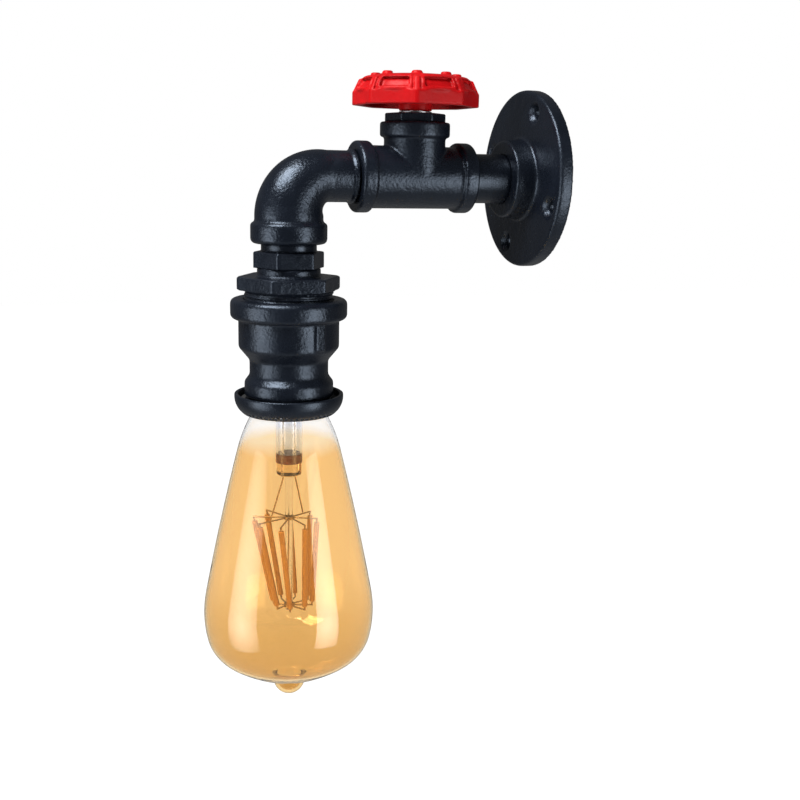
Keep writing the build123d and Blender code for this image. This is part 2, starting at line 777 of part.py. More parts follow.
def wheel_wedge(middle, angle, low, high):
    """Wedge of the wheel between two levels, for a window or the frame round it."""
    reach = wheel_corner_diameter
    sides = [(reach * math.cos(math.radians(middle + side)), reach * math.sin(math.radians(middle + side)))
             for side in (-angle / 2, angle / 2)]
    return Pos(0, 0, low) * extrude(make_face(Polyline((0, 0), *sides, close=True)), high - low)


def handwheel():
    """Eight-sided dished wheel with a framed window in each side and a rib up each corner."""
    corner = wheel_corner_diameter / 2
    frame_low = wheel_skirt_top
    frame_high = wheel_crown_height - wheel_frame_rise
    dish = wheel_crown_diameter / 2 - wheel_crown_width
    web_bottom = wheel_web_height - wheel_web_thickness
    middles = [(index + 0.5) * 360 / wheel_sides for index in range(wheel_sides)]
    dome = revolve(dome_section(0, wheel_rim_height, 0), Axis.Z)
    rim = RegularPolygon(corner, wheel_sides, rotation=0)
    skirt = Pos(0, 0, wheel_rim_height) * extrude(rim, wheel_skirt_height)
    dome += fillet(skirt.edges().filter_by(Axis.Z), wheel_corner_rounding)
    proud = revolve(dome_section(-wheel_frame_rise, wheel_rim_height, 0), Axis.Z)
    frames = [proud & wheel_wedge(middle, wheel_frame_angle, frame_low, frame_high) for middle in middles]
    hollow = revolve(dome_section(wheel_wall, wheel_rim_height, 0), Axis.Z)
    mouth = turned([(0, web_bottom), (dish, web_bottom), (dish, wheel_crown_height + wheel_frame_rise),
                    (0, wheel_crown_height + wheel_frame_rise)])
    web = tube(wheel_crown_diameter, 0, web_bottom, wheel_web_height)
    wheel = dome + frames - hollow - mouth + (web & dome)
    wheel += tube(wheel_hub_diameter, 0, wheel_hub_bottom, wheel_hub_top)
    deep = revolve(dome_section(wheel_window_depth, wheel_rim_height, 0), Axis.Z)
    windows = [wheel_wedge(middle, wheel_window_angle, frame_low + wheel_window_margin,
                           frame_high - wheel_window_margin) - deep for middle in middles]
    wheel -= windows
    wheel += [Rot(Z=index * 360 / wheel_sides) * wheel_rib() for index in range(wheel_sides)]
    square = stem_square + 2 * press_gap
    wheel -= Pos(0, 0, wheel_hub_bottom) * Box(square, square, wheel_hub_top - wheel_hub_bottom,
                                               align=(Align.CENTER, Align.CENTER, Align.MIN))
    return on_branch(Rot(Z=wheel_turn) * wheel)


def wheel_rib():
    """One upright rib: up the skirt's corner, over a round knob on the crown and in along the web."""
    start, middle, end = wheel_arc(0)
    corner = wheel_corner_diameter / 2 - wheel_frame_rise
    knob_place = end[0] - wheel_knob_diameter / 3
    knob_top = wheel_crown_height + wheel_rib_rise
    web_rise = wheel_web_height + wheel_rib_rise
    inner = wheel_hub_diameter / 2 - wheel_frame_rise
    sunk = 1.0
    outline = [
        (corner - wheel_wall, wheel_rim_height), (corner, wheel_rim_height), (corner, wheel_skirt_top),
        (middle[0] + wheel_rib_rise, middle[1] + wheel_rib_rise / 2), (end[0], wheel_crown_height),
        (end[0] - wheel_crown_width, wheel_crown_height), (end[0] - 2 * wheel_crown_width, web_rise),
        (inner, web_rise), (inner, wheel_web_height - sunk), (end[0] - wheel_crown_width, wheel_web_height - sunk),
        (end[0] - sunk, end[1] - 1.5 * sunk), (middle[0] - sunk, middle[1] - sunk),
        (start[0] - sunk, wheel_skirt_top - sunk)]
    face = make_face(Plane.XZ * Polyline(*outline, close=True))
    knob = turned([(0, wheel_web_height - sunk), (wheel_knob_diameter / 2, wheel_web_height - sunk),
                   (wheel_knob_diameter / 2, knob_top, edge_rounding), (0, knob_top)])
    return extrude(face, wheel_rib_width / 2, both=True) + Pos(knob_place, 0, 0) * knob


def wheel_screw():
    head = wheel_screw_head / 2
    seat = wheel_hub_top + washer_thickness
    shank_end = seat - wheel_screw_length + 1.5
    screw = turned([(0, shank_end), (wheel_screw_shank / 2, shank_end), (wheel_screw_shank / 2, seat),
                    (head, seat), (head, seat + wheel_screw_head_height * 0.5, 1.2),
                    (head * 0.55, seat + wheel_screw_head_height), (0, seat + wheel_screw_head_height)])
    cross = Box(4.6, 1.1, 3.2) + Box(1.1, 4.6, 3.2)
    return on_branch(screw - Pos(0, 0, seat + wheel_screw_head_height) * cross)


def screw_washer():
    bore = wheel_screw_shank + 2 * thread_gap
    return on_branch(tube(wheel_washer_diameter, bore, wheel_hub_top, wheel_hub_top + washer_thickness))


# Lamp

def cap_shell():
    middle = cap_crest_diameter / 2 - cap_thread_depth / 2
    high = cap_tip - contact_height - insulator_height + cap_sheet
    start = high - cap_sheet - 0.6 - cap_thread_turns * e27_pitch
    lip = contact_diameter / 2 + 5.2
    return on_drop(threaded_shell(middle, cap_rim, start, cap_thread_turns, high, lip))


def cap_insulator():
    base = cap_tip - contact_height - insulator_height
    high = cap_tip - contact_height
    inner = cap_crest_diameter / 2 - cap_thread_depth - cap_sheet - press_gap
    lip = contact_diameter / 2 + 5.2 - press_gap
    return on_drop(turned([
        (0, base - 2.0), (inner, base - 2.0), (inner, base - press_gap), (lip, base - press_gap),
        (lip, base + cap_sheet + 0.1), (contact_diameter / 2 + 1.0, high, 0.4), (0, high)]))


def cap_centre_contact():
    radius = contact_diameter / 2
    base = cap_tip - contact_height
    return on_drop(turned([(0, base), (radius, base), (radius, base + 0.3, 0.2), (radius * 0.6, cap_tip, 1.5),
                           (0, cap_tip)]))


def below_rim(point):
    """Place in the lamp's section of a (radius, depth below the cap's rim) pair."""
    radius, depth = point
    return (radius, 0, cap_rim - depth)


def bulb_section(inset, top):
    """The lamp's section from its base up to the neck's top, set in from the outer face."""
    lean = math.radians(bulb_start_lean)
    tangent = Vector(math.sin(lean), 0, -math.cos(lean))
    outer_place = Vector(*below_rim(bulb_start))
    place = outer_place + Vector(tangent.Z, 0, -tangent.X) * inset
    start = place
    edges = []
    for point in (bulb_shoulder, bulb_cone_end, bulb_belly_end, bulb_turn_in, bulb_base):
        outer_end = Vector(*below_rim(point))
        turn_end = TangentArc(outer_place, outer_end, tangent=tangent) % 1
        end = outer_end + Vector(turn_end.Z, 0, -turn_end.X) * inset
        edges.append(TangentArc(place, end, tangent=tangent))
        outer_place, place, tangent = outer_end, end, turn_end
    neck = neck_diameter / 2 - inset
    edges.append(Polyline((place.X, 0, place.Z), (0, 0, place.Z), (0, 0, top), (neck, 0, top),
                          (neck, 0, start.Z), (start.X, 0, start.Z)))
    return make_face(edges)


def bulb_glass():
    """Blown bulb with its neck inside the cap and a round sealed tip under its base."""
    top = cap_rim + neck_inside_cap
    tip = Pos(0, 0, cap_rim - bulb_tip_depth)
    outer = revolve(bulb_section(0, top), Axis.Z) + tip * Sphere(bulb_tip_radius)
    inner = revolve(bulb_section(glass_wall, top), Axis.Z) + tip * Sphere(bulb_tip_radius - bulb_tip_wall)
    return on_drop(outer - inner)


def cap_cement():
    inner = neck_diameter / 2 + press_gap
    outer = cap_crest_diameter / 2 - cap_thread_depth / 2 - cap_sheet - press_gap
    return on_drop(tube(2 * outer, 2 * inner, cap_rim + 0.2, cap_rim + neck_inside_cap - 1.5))


def stem_tube():
    """Clear glass stem, flared at the neck and straight down to the seal."""
    flare = neck_diameter / 2 - glass_wall - press_gap
    outer = stem_tube_diameter / 2
    inner = outer - stem_tube_wall
    top = cap_rim + neck_inside_cap - 0.6
    joint = cap_rim - stem_flare_depth
    seal = cap_rim - stem_seal_depth
    edges = [
        Line((flare - stem_tube_wall, 0, top), (flare, 0, top)),
        Spline((flare, 0, top), (outer + 1.6, 0, (top + joint) / 2 - 1.2), (outer, 0, joint),
               tangents=[(0, 0, -1), (0, 0, -1)]),
        Line((outer, 0, joint), (outer, 0, seal)), Line((outer, 0, seal), (inner, 0, seal)),
        Line((inner, 0, seal), (inner, 0, joint)),
        Spline((inner, 0, joint), (inner + 1.6, 0, (top + joint) / 2 - 1.2), (flare - stem_tube_wall, 0, top),
               tangents=[(0, 0, 1), (0, 0, 1)])]
    return on_drop(revolve(make_face(edges), Axis.Z))


def lead_hole(low, high):
    """Two holes for the lead-in wires through the seal and the collar."""
    hole = tube(cage_wire_diameter + 2 * press_gap, 0, low, high)
    return [Pos(*lead_place(index, 0)) * hole for index in lead_places]


def lead_place(index, level):
    """Where a lead wire stands beside the stem's axis, at a level."""
    x, y, _ = cage_point(index, lead_wire_spread, 0)
    return x, y, level


def stem_seal_ring():
    high = cap_rim - stem_seal_depth
    low = high - stem_seal_height
    return on_drop(tube(stem_tube_diameter, 0, low, high) - lead_hole(low, high))


def stem_collar():
    high = cap_rim - stem_seal_depth - stem_seal_height
    low = high - stem_collar_height
    collar = turned([(0, low), (stem_collar_diameter / 2, low, cast_rounding), (stem_collar_diameter / 2, high),
                     (0, high)])
    return on_drop(collar - lead_hole(low, high))


def centre_rod():
    high = cap_rim - stem_seal_depth - stem_seal_height - stem_collar_height
    low = cap_rim - cage_top_depth - cage_height - rod_below_cage
    return on_drop(tube(rod_diameter, 0, low, high))


def cage_point(index, radius, depth, lean=0):
    """Place on one of the cage's rings; the lean moves the ring's middle towards the wall."""
    angle = math.radians((index + 0.5) * 360 / filament_count)
    return (radius * math.cos(angle), radius * math.sin(angle) + lean, cap_rim - depth)


def filament_ends(index):
    """Both ends of a filament's glowing part, short of the cage's wires by its metal tabs."""
    top = Vector(*cage_point(index, cage_top_radius, cage_top_depth, -cage_lean))
    bottom = Vector(*cage_point(index, cage_bottom_radius, cage_top_depth + cage_height, cage_lean))
    run = (bottom - top).normalized()
    margin = cage_wire_diameter / 2 + filament_tab
    return top, top + run * margin, bottom - run * margin, bottom


def filament(index):
    _, high, low, _ = filament_ends(index)
    return on_drop(straight_wire(high, low, filament_diameter))


def filament_tabs():
    tabs = []
    for index in range(filament_count):
        top, high, low, bottom = filament_ends(index)
        run = (bottom - top).normalized()
        gap = run * (cage_wire_diameter / 2 + filament_tab_gap)
        tabs.append(on_drop(straight_wire(top + gap, high, filament_tab_diameter)))
        tabs.append(on_drop(straight_wire(low, bottom - gap, filament_tab_diameter)))
    return Compound(children=tabs)


def star_wire(index, radius, depth, lean):
    """Both ends of one of the cage's wires, at the glass rod and past its filament."""
    inner = cage_point(index, rod_diameter / 2 + cage_wire_diameter / 2, depth)
    outer = cage_point(index, radius + filament_tab_diameter / 2, depth, lean)
    return Vector(*inner), Vector(*outer)


def cage_wires(radius, depth, lean):
    """Star of wires from a ring on the glass rod out to the filaments."""
    level = cap_rim - depth
    star = tube(rod_diameter + 2 * cage_wire_diameter, rod_diameter + 2 * press_gap,
                level - cage_wire_diameter, level + cage_wire_diameter)
    for index in range(filament_count):
        inner, outer = star_wire(index, radius, depth, lean)
        star += straight_wire(inner, outer, cage_wire_diameter)
    return on_drop(star)


def lead_wires():
    """Two wires from the driver board down the stem and out to the cage's top ring."""
    seal = cap_rim - stem_seal_depth - stem_seal_height - stem_collar_height
    board = cap_rim + board_above_rim
    wires = []
    for index in lead_places:
        inner, outer = star_wire(index, cage_top_radius, cage_top_depth, -cage_lean)
        end = inner + (outer - inner) * lead_reach + Vector(0, 0, cage_wire_diameter)
        points = [lead_place(index, board), lead_place(index, seal - lead_bend), (end.X, end.Y, end.Z)]
        wires.append(on_drop(wire_along(points, [lead_bend], cage_wire_diameter)))
    return Compound(children=wires)


def driver_board():
    low = cap_rim + board_above_rim
    board = tube(board_diameter, 0, low, low + board_thickness)
    return on_drop(board)


def driver_parts():
    """Smoothing capacitor and bridge rectifier on the board."""
    low = cap_rim + board_above_rim + board_thickness
    capacitor = Pos(-4.2, 0, low) * Cylinder(capacitor_diameter / 2, capacitor_length,
                                             align=(Align.CENTER, Align.CENTER, Align.MIN))
    bridge = Pos(4.4, 0, low) * Box(4.0, 5.0, 2.0, align=(Align.CENTER, Align.CENTER, Align.MIN))
    return Compound(children=[on_drop(capacitor), on_drop(bridge)])


# Wires inside the pipe

def supply_route(side):
    """Live and neutral: along the arm's floor, round the elbow and down the hollow stud."""
    stub = terminal_reach - terminal_size[0] / 2
    level = holder_cap_bottom + terminal_size[2] / 2
    x = side * wire_spacing
    inner = side * stud_wire_spacing
    return [(x, -wire_start, wire_level), (x, -bend_start - wire_turn_place, wire_level),
            (inner, -drop_distance, -elbow_face - wire_drop_place), (inner, -drop_distance, level),
            (side * stub, -drop_distance, level)]


def supply_wire(side):
    return wire_along(supply_route(side), [wire_bend, 2 * wire_bend, wire_diameter * 0.9], wire_diameter)


def earth_route():
    y = -drop_distance + tag_radius()
    return [(0, -wire_start, earth_level), (0, y, earth_level), (0, y, tag_top)]


def earth_wire():
    return wire_along(earth_route(), [earth_bend], wire_diameter)


def wire_tips():
    """Bare copper: at the wall, in the terminals and in the earth tag."""
    tips = []
    length, _, _ = terminal_size
    for side in (-1, 1):
        route = supply_route(side)
        tips.append(straight_wire(route[0], (route[0][0], 0, route[0][2]), wire_core))
        end = route[-1]
        tips.append(straight_wire(end, (end[0] + side * (length - 0.4), end[1], end[2]), wire_core))
    route = earth_route()
    tips.append(straight_wire(route[0], (0, 0, route[0][2]), wire_core))
    tips.append(straight_wire(route[-1], (0, route[-1][1], barrel_bottom()), wire_core))
    return Compound(children=tips)


pieces = {
    "wall_flange": wall_flange(),
    "flange_nipple": flange_nipple(),
    "tee": tee(),
    "street_elbow": street_elbow(),
    "hex_nipple": hex_nipple(),
    "reducing_bushing": reducing_bushing(),
    "bell_reducer": bell_reducer(),
    "hollow_stud": hollow_stud(),
    "stud_nut": stud_nut_piece(),
    "upper_stud_washer": stud_washer(upper_washer_diameter, bushing_seat),
    "lower_stud_washer": stud_washer(lower_washer_diameter, holder_top),
    "earth_tag": earth_tag(),
    "lampholder_cap": lampholder_cap(),
    "lampholder_body": lampholder_body(),
    "contact_block": contact_block(),
    "live_terminal": terminal(terminal_places()["live"][0]),
    "neutral_terminal": terminal(terminal_places()["neutral"][0]),
    "terminal_screws": terminal_screws(),
    "socket_shell": socket_shell(),
    "socket_centre_contact": socket_centre_contact(),
    "live_wire": supply_wire(-1),
    "neutral_wire": supply_wire(1),
    "earth_wire": earth_wire(),
    "wire_tips": wire_tips(),
    "branch_plug": branch_plug(),
    "stem_seal": stem_seal(),
    "thrust_washer": thrust_washer(),
    "wheel_stem": wheel_stem(),
    "stem_clip": stem_clip(),
    "handwheel": handwheel(),
    "screw_washer": screw_washer(),
    "wheel_screw": wheel_screw(),
    "ring_washer": ring_washer(),
    "shade_ring": shade_ring(),
    "cap_centre_contact": cap_centre_contact(),
    "cap_insulator": cap_insulator(),
    "cap_shell": cap_shell(),
    "cap_cement": cap_cement(),
    "driver_board": driver_board(),
    "driver_parts": driver_parts(),
    "bulb_glass": bulb_glass(),
    "stem_tube": stem_tube(),
    "stem_seal_ring": stem_seal_ring(),
    "stem_collar": stem_collar(),
    "centre_rod": centre_rod(),
    "lead_wires": lead_wires(),
    "cage_top_wires": cage_wires(cage_top_radius, cage_top_depth, -cage_lean),
    "cage_bottom_wires": cage_wires(cage_bottom_radius, cage_top_depth + cage_height, cage_lean),
    "filament_tabs": filament_tabs(),
}
for number in range(filament_count):
    pieces[f"filament_{number + 1}"] = filament(number)

for name, shape in pieces.items():
    export_step(shape, f"parts/{name}.step")
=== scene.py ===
"""Finish for an industrial pipe wall light: black cast fittings, a red handwheel and an
amber filament lamp, on a plain pale stage. Lengths in the settings are in metres.
"""
import math

import bmesh
import bpy
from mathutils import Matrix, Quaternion, Vector


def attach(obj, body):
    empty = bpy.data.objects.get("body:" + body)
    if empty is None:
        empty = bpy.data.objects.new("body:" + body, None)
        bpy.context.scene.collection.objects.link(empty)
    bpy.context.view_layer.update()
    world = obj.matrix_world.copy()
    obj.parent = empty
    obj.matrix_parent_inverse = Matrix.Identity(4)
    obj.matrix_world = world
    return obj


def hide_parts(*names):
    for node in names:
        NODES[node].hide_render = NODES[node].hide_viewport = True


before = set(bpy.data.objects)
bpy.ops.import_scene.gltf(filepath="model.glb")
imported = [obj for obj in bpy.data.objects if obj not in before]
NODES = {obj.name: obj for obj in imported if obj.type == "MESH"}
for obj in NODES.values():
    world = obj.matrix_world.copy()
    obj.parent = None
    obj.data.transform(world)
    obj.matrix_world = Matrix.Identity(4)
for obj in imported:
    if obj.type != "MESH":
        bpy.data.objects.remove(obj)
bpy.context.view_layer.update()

bl_info = {
    "name": "Pipe wall light",
    "version": (1, 0, 0),
    "blender": (4, 5, 0),
    "location": "View3D > Sidebar > Pipe light",
    "description": "Dresses the pipe wall light and sets its stage",
    "category": "Object",
}

MM = 0.001

# Castings: node, remesh size in millimetres and how far its corners are relaxed
CAST_SIZES = (("wall_flange", 0.5, 5), ("tee", 0.45, 7), ("street_elbow", 0.42, 7),
              ("reducing_bushing", 0.4, 3), ("bell_reducer", 0.45, 5), ("branch_plug", 0.33, 3))
PIPE_SIZES = (("hex_nipple", 0.33, 3), ("flange_nipple", 0.4, 3))
RING_SIZE = (0.32, 2)
WHEEL_SIZE = (0.36, 3)

# The bushing's thread that shows above the bell, in millimetres
LAMP_AXIS = (0, -112.0)
THREAD_RADIUS = 19.0
THREAD_LEVELS = (-51.6, -47.6)
THREAD_PITCH = 1.81
THREAD_DEPTH = 0.75

# Small pieces by finish: nodes, name, colour and roughness
METALS = (
    (("hollow_stud", "stud_nut", "upper_stud_washer", "lower_stud_washer", "terminal_screws",
      "wheel_stem", "stem_clip", "screw_washer", "wheel_screw", "thrust_washer"),
     "Zinc plated steel", (0.62, 0.63, 0.65), 0.38),
    (("earth_tag", "live_terminal", "neutral_terminal", "socket_centre_contact", "cap_centre_contact"),
     "Bare brass", (0.74, 0.55, 0.26), 0.34),
    (("socket_shell", "cap_shell"), "Nickel plated brass", (0.66, 0.63, 0.56), 0.3),
    (("lead_wires", "cage_top_wires", "cage_bottom_wires", "filament_tabs"),
     "Nickel wire", (0.36, 0.27, 0.16), 0.4),
    (("wire_tips",), "Tinned copper", (0.8, 0.45, 0.28), 0.35))
MOULDINGS = (
    (("lampholder_cap", "lampholder_body", "contact_block"),
     "Moulded phenolic", (0.022, 0.02, 0.019), 0.42),
    (("stem_seal", "ring_washer"), "Black rubber", (0.02, 0.02, 0.021), 0.75),
    (("cap_insulator",), "Black vitreous insulator", (0.02, 0.02, 0.024), 0.2),
    (("live_wire",), "Brown insulation", (0.17, 0.07, 0.03), 0.5),
    (("neutral_wire",), "Blue insulation", (0.03, 0.12, 0.42), 0.5),
    (("earth_wire",), "Green insulation", (0.2, 0.42, 0.04), 0.5),
    (("cap_cement",), "Cap cement", (0.75, 0.68, 0.55), 0.8),
    (("driver_board",), "Circuit board", (0.8, 0.8, 0.76), 0.5),
    (("driver_parts",), "Moulded components", (0.03, 0.03, 0.033), 0.45),
    (("stem_seal_ring",), "Dark seal", (0.09, 0.03, 0.012), 0.25))
FILAMENTS = tuple(f"filament_{number}" for number in range(1, 9))

# Soft lights round the camera: name, degrees to the camera's right and above the aim, distance,
# width, height, watts and spread in degrees
SOFT_BOXES = (("Left softbox", -58, -12, 0.78, 0.60, 0.75, 0.85, 62),
              ("Right softbox", 56, -12, 0.78, 0.42, 0.72, 0.78, 66),
              ("Top softbox", -48, 60, 0.85, 0.46, 0.46, 7.5, 150))
LIGHT_AIM = (0, -0.1, -0.12)
SENSOR_WIDTH = 36
NEAREST_SEEN = 0.01
FLOOR_SIZE = 6.0
FLOOR_PAINT = (0.9, 0.9, 0.9)
FLOOR_GLOW = 0.98

# Settings

class StageSettings(bpy.types.PropertyGroup):
    lens: bpy.props.FloatProperty(
        name="Lens", description="Focal length of the camera", default=49.34, unit="CAMERA")
    roll: bpy.props.FloatProperty(
        name="Roll", description="How far the camera leans", default=math.radians(1.2),
        subtype="ANGLE")
    azimuth: bpy.props.FloatProperty(
        name="Azimuth", description="Direction of the view, 0 looks at the wall", subtype="ANGLE",
        default=math.radians(69.22))
    elevation: bpy.props.FloatProperty(
        name="Elevation", description="How far the camera looks down", subtype="ANGLE",
        default=math.radians(12.0))
    place: bpy.props.FloatVectorProperty(
        name="Camera", description="Where the camera stands", size=3, unit="LENGTH",
        subtype="TRANSLATION", default=(0.44991, -0.23147, 0.0044))
    floor_level: bpy.props.FloatProperty(
        name="Floor", description="Height of the floor", default=-0.8, unit="LENGTH")
    world_light: bpy.props.FloatProperty(
        name="Sky", description="Strength of the even light all round", default=0.13, min=0)


class PaintSettings(bpy.types.PropertyGroup):
    black: bpy.props.FloatVectorProperty(
        name="Black paint", description="Paint on the fittings", subtype="COLOR", size=3,
        default=(0.0045, 0.0062, 0.0105), min=0, max=1)
    black_worn: bpy.props.FloatVectorProperty(
        name="Rubbed paint", description="Paint where edges are rubbed", subtype="COLOR", size=3,
        default=(0.045, 0.052, 0.066), min=0, max=1)
    black_glint: bpy.props.FloatVectorProperty(
        name="Black paint's sheen", description="Tint of what the black paint reflects", subtype="COLOR",
        size=3, default=(0.66, 0.80, 1.0), min=0, max=1)
    red: bpy.props.FloatVectorProperty(
        name="Red paint", description="Paint on the handwheel", subtype="COLOR", size=3,
        default=(0.46, 0.0045, 0.0065), min=0, max=1)
    red_worn: bpy.props.FloatVectorProperty(
        name="Rubbed red paint", description="Red paint where edges are rubbed", subtype="COLOR",
        size=3, default=(0.78, 0.05, 0.045), min=0, max=1)
    red_glint: bpy.props.FloatVectorProperty(
        name="Red paint's sheen", description="Tint of what the red paint reflects", subtype="COLOR",
        size=3, default=(1.0, 0.45, 0.45), min=0, max=1)
    grain: bpy.props.FloatProperty(
        name="Casting grain", description="Size of the sand grain on the castings",
        default=0.0011, unit="LENGTH")


class LampSettings(bpy.types.PropertyGroup):
    amber: bpy.props.FloatVectorProperty(
        name="Amber", description="Tint of the glass", subtype="COLOR", size=3,
        default=(0.94, 0.72, 0.43), min=0, max=1)
    deep_amber: bpy.props.FloatVectorProperty(
        name="Deep amber", description="Tint of the glass at the base", subtype="COLOR", size=3,
        default=(0.68, 0.46, 0.19), min=0, max=1)
    clear_neck: bpy.props.FloatVectorProperty(
        name="Clear neck", description="Tint of the glass at the neck", subtype="COLOR", size=3,
        default=(0.97, 0.97, 0.97), min=0, max=1)
    tint_top: bpy.props.FloatProperty(
        name="Tint's edge", description="Height where the tint begins, below the clear neck",
        default=-0.1140, unit="LENGTH")
    tint_fade: bpy.props.FloatProperty(
        name="Tint's fade", description="Height over which the tint fades out", default=0.006,
        unit="LENGTH")
    tint_ripple: bpy.props.FloatProperty(
        name="Tint's ripple", description="How wavy the tint's edge is", default=0.004, unit="LENGTH")
    deep_start: bpy.props.FloatProperty(
        name="Deep amber's start", description="Below the tint's edge", default=0.055, unit="LENGTH")
    deep_end: bpy.props.FloatProperty(
        name="Deep amber's end", description="Below the tint's edge", default=0.12, unit="LENGTH")
    sheen: bpy.props.FloatProperty(
        name="Glass sheen", description="Strength of the reflections on the bulb", default=0.9, min=0,
        max=1)
    coating: bpy.props.FloatVectorProperty(
        name="Filament coating", description="Colour of the filaments' coating", subtype="COLOR",
        size=3, default=(0.36, 0.20, 0.055), min=0, max=1)


# Shader helpers

def new_material(name):
    """Empty material with its output and a Principled shader."""
    material = bpy.data.materials.new(name)
    material.use_nodes = True
    tree = material.node_tree
    tree.nodes.clear()
    output = tree.nodes.new("ShaderNodeOutputMaterial")
    shader = tree.nodes.new("ShaderNodeBsdfPrincipled")
    tree.links.new(shader.outputs["BSDF"], output.inputs["Surface"])
    return material, tree, shader, output


def connect(tree, value, socket):
    """Link another node's result to a socket, or put a number or a colour on it."""
    if isinstance(value, bpy.types.NodeSocket):
        tree.links.new(value, socket)
    elif isinstance(value, (int, float)):
        socket.default_value = value
    else:
        socket.default_value = (*value, 1)


def calculate(tree, kind, first, second, clamp=False):
    node = tree.nodes.new("ShaderNodeMath")
    node.operation = kind
    node.use_clamp = clamp
    connect(tree, first, node.inputs[0])
    connect(tree, second, node.inputs[1])
    return node.outputs[0]


def object_place(tree):
    return tree.nodes.new("ShaderNodeTexCoord").outputs["Object"]


def noise(tree, scale, detail, roughness=0.5, distortion=0.0):
    """Noise in the piece's own coordinates."""
    node = tree.nodes.new("ShaderNodeTexNoise")
    tree.links.new(object_place(tree), node.inputs["Vector"])
    for label, value in (("Scale", scale), ("Detail", detail), ("Roughness", roughness),
                         ("Distortion", distortion)):
        connect(tree, value, node.inputs[label])
    return node.outputs["Fac"]


def rescale(tree, value, low, high, new_low=0.0, new_high=1.0, smooth=False):
    node = tree.nodes.new("ShaderNodeMapRange")
    if smooth:
        node.interpolation_type = "SMOOTHSTEP"
    for label, number in (("From Min", low), ("From Max", high), ("To Min", new_low),
                          ("To Max", new_high)):
        node.inputs[label].default_value = number
    tree.links.new(value, node.inputs["Value"])
    return node.outputs["Result"]


def mix_colours(tree, factor, first, second):
    node = tree.nodes.new("ShaderNodeMix")
    node.data_type = "RGBA"
    connect(tree, factor, node.inputs["Factor"])
    connect(tree, first, node.inputs[6])
    connect(tree, second, node.inputs[7])
    return node.outputs[2]


def raised(tree, height, distance, strength, normal=None):
    """Bumped normal."""
    node = tree.nodes.new("ShaderNodeBump")
    node.inputs["Distance"].default_value = distance
    node.inputs["Strength"].default_value = strength
    tree.links.new(height, node.inputs["Height"])
    if normal:
        tree.links.new(normal, node.inputs["Normal"])
    return node.outputs["Normal"]


def wear_group():
    """Shared effect: painted casting with sand grain, uneven gloss and rubbed edges."""
    group = bpy.data.node_groups.get("Painted casting")
    if group:
        return group
    group = bpy.data.node_groups.new("Painted casting", "ShaderNodeTree")
    for label, kind in (("Paint", "Color"), ("Rubbed", "Color"), ("Grain size", "Float"),
                        ("Grain height", "Float"), ("Gloss", "Float"), ("Wear", "Float"),
                        ("Edge", "Float")):
        group.interface.new_socket(label, in_out="INPUT", socket_type=f"NodeSocket{kind}")
    for label, kind in (("Color", "Color"), ("Roughness", "Float"), ("Normal", "Vector")):
        group.interface.new_socket(label, in_out="OUTPUT", socket_type=f"NodeSocket{kind}")
    enter = group.nodes.new("NodeGroupInput").outputs
    leave = group.nodes.new("NodeGroupOutput").inputs
    grain = noise(group, calculate(group, "DIVIDE", 1.0, enter["Grain size"]), 3.0, 0.55)
    lumps = noise(group, 150.0, 3.0, 0.5, 0.4)
    patches = noise(group, 42.0, 4.0, 0.6, 0.8)
    specks = noise(group, 2600.0, 2.0, 0.5)

    # Paint is rubbed where the surface turns within the edge's width, and in patches only
    edge_round = group.nodes.new("ShaderNodeBevel")
    edge_round.samples = 4
    group.links.new(enter["Edge"], edge_round.inputs["Radius"])
    geometry = group.nodes.new("ShaderNodeNewGeometry")
    agreement = group.nodes.new("ShaderNodeVectorMath")
    agreement.operation = "DOT_PRODUCT"
    group.links.new(edge_round.outputs[0], agreement.inputs[0])
    group.links.new(geometry.outputs["Normal"], agreement.inputs[1])
    edge = calculate(group, "SUBTRACT", 1.0, agreement.outputs["Value"])
    edge = calculate(group, "MULTIPLY", edge, 9.0, True)
    bare_patches = calculate(group, "MULTIPLY", patches, 3.4)
    bare_patches = calculate(group, "SUBTRACT", bare_patches, 1.1, True)
    rub = calculate(group, "MULTIPLY", edge, bare_patches)
    rub = calculate(group, "MULTIPLY", rub, enter["Wear"], True)
    tone = group.nodes.new("ShaderNodeVectorMath")
    tone.operation = "SCALE"
    group.links.new(enter["Paint"], tone.inputs[0])
    group.links.new(rescale(group, patches, 0.3, 0.7, 0.82, 1.22), tone.inputs["Scale"])
    colour = mix_colours(group, rub, tone.outputs["Vector"], enter["Rubbed"])

    # Gloss varies in patches and in fine specks
    spread = calculate(group, "MULTIPLY", calculate(group, "SUBTRACT", patches, 0.5), 0.34)
    speckle = calculate(group, "MULTIPLY", calculate(group, "SUBTRACT", specks, 0.5), 0.16)
    gloss = calculate(group, "ADD", enter["Gloss"], spread)
    gloss = calculate(group, "ADD", gloss, speckle, True)

    # Heights in metres
    grain_height = calculate(group, "MULTIPLY", grain, 0.00017)
    lump_height = calculate(group, "MULTIPLY", lumps, 0.00030)
    height = calculate(group, "ADD", grain_height, lump_height)
    height = calculate(group, "MULTIPLY", height, enter["Grain height"])
    normal = raised(group, height, 1.0, 1.0, edge_round.outputs[0])
    for value, label in ((colour, "Color"), (gloss, "Roughness"), (normal, "Normal")):
        group.links.new(value, leave[label])
    return group


